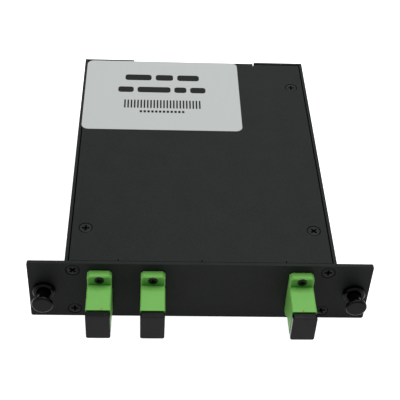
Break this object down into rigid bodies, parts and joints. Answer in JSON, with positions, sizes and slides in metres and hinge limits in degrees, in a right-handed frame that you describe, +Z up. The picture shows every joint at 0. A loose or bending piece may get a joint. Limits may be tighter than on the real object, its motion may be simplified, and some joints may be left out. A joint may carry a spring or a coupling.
{
  "type": "plc fibre splitter cassette",
  "caption": "Slim black metal cassette with a wide front panel, green fibre ports with black dust caps, push-pull fasteners and a screwed cover.",
  "frame": {"origin": "middle of the whole object's box at its underside, on the flat face that it rests on", "axes": "+Z up through the cover, +Y from the ports and panel to the rear, +X to the right seen from the front"},
  "size_m": [0.13, 0.1518, 0.0291],
  "materials": {
    "black_coated_steel": "fine-textured matt black powder coat on folded steel",
    "label_paper": "matt paper label",
    "black_screws": "black oxide",
    "plated_steel": "zinc plated",
    "green_plastic": "satin moulded green",
    "green_plug_plastic": "satin moulded green",
    "natural_plastic": "natural moulded plastic",
    "zirconia": "polished ceramic",
    "cap_plastic": "matt black soft plastic",
    "fastener_nylon": "satin black nylon",
    "boot_rubber": "matt green rubber",
    "module_steel": "satin stainless tube",
    "clip_plastic": "natural nylon",
    "fibre_sheath": "0.9 mm tight-buffer tube"
  },
  "bodies": {
    "cassette": {"adapter_housing_1": "green_plastic", "adapter_housing_2": "green_plastic", "adapter_housing_3": "green_plastic", "adapter_latch_front_1": "natural_plastic", "adapter_latch_front_2": "natural_plastic", "adapter_latch_front_3": "natural_plastic", "adapter_latch_rear_1": "natural_plastic", "adapter_latch_rear_2": "natural_plastic", "adapter_latch_rear_3": "natural_plastic", "adapter_nuts": "plated_steel", "adapter_screws": "black_screws", "adapter_sleeve_1": "zirconia", "adapter_sleeve_2": "zirconia", "adapter_sleeve_3": "zirconia", "base_tray": "black_coated_steel", "cover": "black_coated_steel", "cover_screws": "black_screws", "fibre_clip_left": "clip_plastic", "fibre_clip_rear": "clip_plastic", "fibre_clip_right": "clip_plastic", "fibre_input": "fibre_sheath", "fibre_output_a": "fibre_sheath", "fibre_output_b": "fibre_sheath", "front_panel": "black_coated_steel", "grommet_left": "fastener_nylon", "grommet_right": "fastener_nylon", "label": "label_paper", "module_boot_in": "boot_rubber", "module_boot_out": "boot_rubber", "module_clip_left": "clip_plastic", "module_clip_right": "clip_plastic", "panel_screws": "black_screws", "pillars": "plated_steel", "plug_boot_1": "boot_rubber", "plug_boot_2": "boot_rubber", "plug_boot_3": "boot_rubber", "plug_core_1": "natural_plastic", "plug_core_2": "natural_plastic", "plug_core_3": "natural_plastic", "plug_ferrule_1": "zirconia", "plug_ferrule_2": "zirconia", "plug_ferrule_3": "zirconia", "plug_housing_1": "green_plug_plastic", "plug_housing_2": "green_plug_plastic", "plug_housing_3": "green_plug_plastic", "splitter_module": "module_steel"},
    "dust_cap_1": {"dust_cap_1": "cap_plastic"},
    "dust_cap_2": {"dust_cap_2": "cap_plastic"},
    "dust_cap_3": {"dust_cap_3": "cap_plastic"},
    "plunger_left": {"plunger_left": "fastener_nylon"},
    "plunger_right": {"plunger_right": "fastener_nylon"}
  },
  "joints": [
    {"name": "plunger_left_push", "type": "slide", "parent": "cassette", "child": "plunger_left", "axis": [0, 1, 0], "range_m": [0, 0.0042]},
    {"name": "plunger_right_push", "type": "slide", "parent": "cassette", "child": "plunger_right", "axis": [0, 1, 0], "range_m": [0, 0.0042]},
    {"name": "dust_cap_1_pull", "type": "slide", "parent": "cassette", "child": "dust_cap_1", "axis": [0, -1, 0], "range_m": [0, 0.02]},
    {"name": "dust_cap_2_pull", "type": "slide", "parent": "cassette", "child": "dust_cap_2", "axis": [0, -1, 0], "range_m": [0, 0.02]},
    {"name": "dust_cap_3_pull", "type": "slide", "parent": "cassette", "child": "dust_cap_3", "axis": [0, -1, 0], "range_m": [0, 0.02]}
  ]
}
